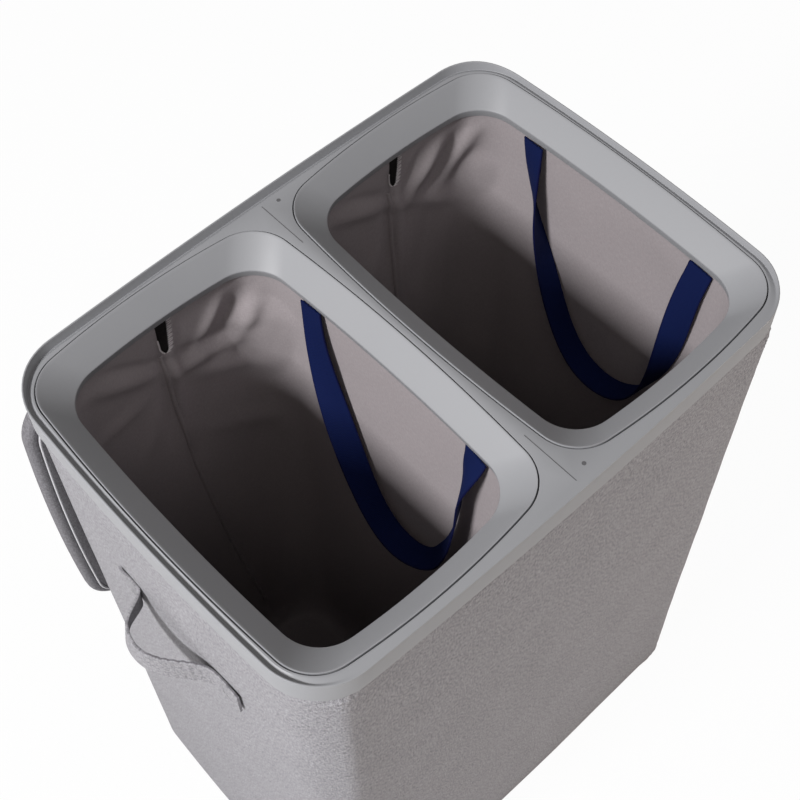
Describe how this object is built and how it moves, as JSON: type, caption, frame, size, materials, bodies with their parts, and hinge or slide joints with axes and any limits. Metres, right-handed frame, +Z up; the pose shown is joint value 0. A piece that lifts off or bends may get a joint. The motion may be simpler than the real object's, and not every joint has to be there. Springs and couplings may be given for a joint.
{
  "type": "laundry hamper",
  "caption": "Tall fabric laundry hamper with a moulded top frame, lift-out sorting bins, webbing pull loops, carry straps and a padded fabric lid hanging behind on a cloth hinge.",
  "frame": {"origin": "centre of the base's underside, on the floor", "axes": "+Z up, +X along the long side towards the right-hand bin, -Y towards the open front, the lid hangs at +Y"},
  "size_m": [0.567, 0.3728, 0.661],
  "materials": {
    "frame_plastic": "fine moulded grey, slight sheen",
    "hidden_plastic": "plain moulded grey",
    "melange_cloth": "light grey melange weave",
    "bag_cloth": "thin warm grey woven lining",
    "webbing": "navy blue ribbed webbing",
    "piping": "light grey corded seam",
    "board": "plain fibreboard",
    "foam": "soft padding"
  },
  "bodies": {
    "body": {"top_frame": "frame_plastic", "right_panel": "melange_cloth", "right_board": "board", "back_panel": "melange_cloth", "back_board": "board", "left_panel": "melange_cloth", "left_board": "board", "front_panel": "melange_cloth", "front_board": "board", "base_panel": "melange_cloth", "base_board": "board", "hem_band": "hidden_plastic", "left_handle_front_tab": "melange_cloth", "left_handle_back_tab": "melange_cloth", "right_handle_front_tab": "melange_cloth", "right_handle_back_tab": "melange_cloth", "lid_hinge_binding": "melange_cloth"},
    "left_bin": {"left_ring": "frame_plastic", "left_liner": "bag_cloth", "left_liner_clamp": "hidden_plastic"},
    "right_bin": {"right_ring": "frame_plastic", "right_liner": "bag_cloth", "right_liner_clamp": "hidden_plastic"},
    "left_bin_left_loop": {"left_liner_loop_left": "webbing"},
    "left_bin_right_loop": {"left_liner_loop_right": "webbing"},
    "right_bin_left_loop": {"right_liner_loop_left": "webbing"},
    "right_bin_right_loop": {"right_liner_loop_right": "webbing"},
    "left_strap": {"left_handle_strap": "melange_cloth"},
    "right_strap": {"right_handle_strap": "melange_cloth"},
    "hinge_strip": {"lid_hinge_strip": "melange_cloth"},
    "lid": {"lid_cover": "melange_cloth", "lid_foam": "foam", "lid_board": "board", "lid_lining": "bag_cloth", "lid_piping": "piping"}
  },
  "joints": [
    {"name": "left_bin_lift", "type": "slide", "parent": "body", "child": "left_bin", "axis": [0, 0, 1], "range_m": [0, 0.65]},
    {"name": "right_bin_lift", "type": "slide", "parent": "body", "child": "right_bin", "axis": [0, 0, 1], "range_m": [0, 0.65]},
    {"name": "left_bin_left_loop_swing", "type": "hinge", "parent": "left_bin", "child": "left_bin_left_loop", "pos_m": [-0.22386, -0.006, 0.6283], "axis": [0, -1, 0], "range_deg": [0, 18]},
    {"name": "left_bin_right_loop_swing", "type": "hinge", "parent": "left_bin", "child": "left_bin_right_loop", "pos_m": [-0.02414, -0.006, 0.6283], "axis": [0, 1, 0], "range_deg": [0, 18]},
    {"name": "right_bin_left_loop_swing", "type": "hinge", "parent": "right_bin", "child": "right_bin_left_loop", "pos_m": [0.02414, -0.006, 0.6283], "axis": [0, -1, 0], "range_deg": [0, 18]},
    {"name": "right_bin_right_loop_swing", "type": "hinge", "parent": "right_bin", "child": "right_bin_right_loop", "pos_m": [0.22386, -0.006, 0.6283], "axis": [0, 1, 0], "range_deg": [0, 18]},
    {"name": "left_strap_swing", "type": "hinge", "parent": "body", "child": "left_strap", "pos_m": [-0.26464, -0.006, 0.498], "axis": [0, 1, 0], "range_deg": [0, 70]},
    {"name": "right_strap_swing", "type": "hinge", "parent": "body", "child": "right_strap", "pos_m": [0.26464, -0.006, 0.498], "axis": [0, -1, 0], "range_deg": [0, 70]},
    {"name": "hinge_strip_turn", "type": "hinge", "parent": "body", "child": "hinge_strip", "pos_m": [0, 0.1811, 0.629], "axis": [1, 0, 0], "range_deg": [0, 161.97]},
    {"name": "lid_turn", "type": "hinge", "parent": "hinge_strip", "child": "lid", "pos_m": [0, 0.19185, 0.59853], "axis": [1, 0, 0], "range_deg": [0, 108]}
  ]
}
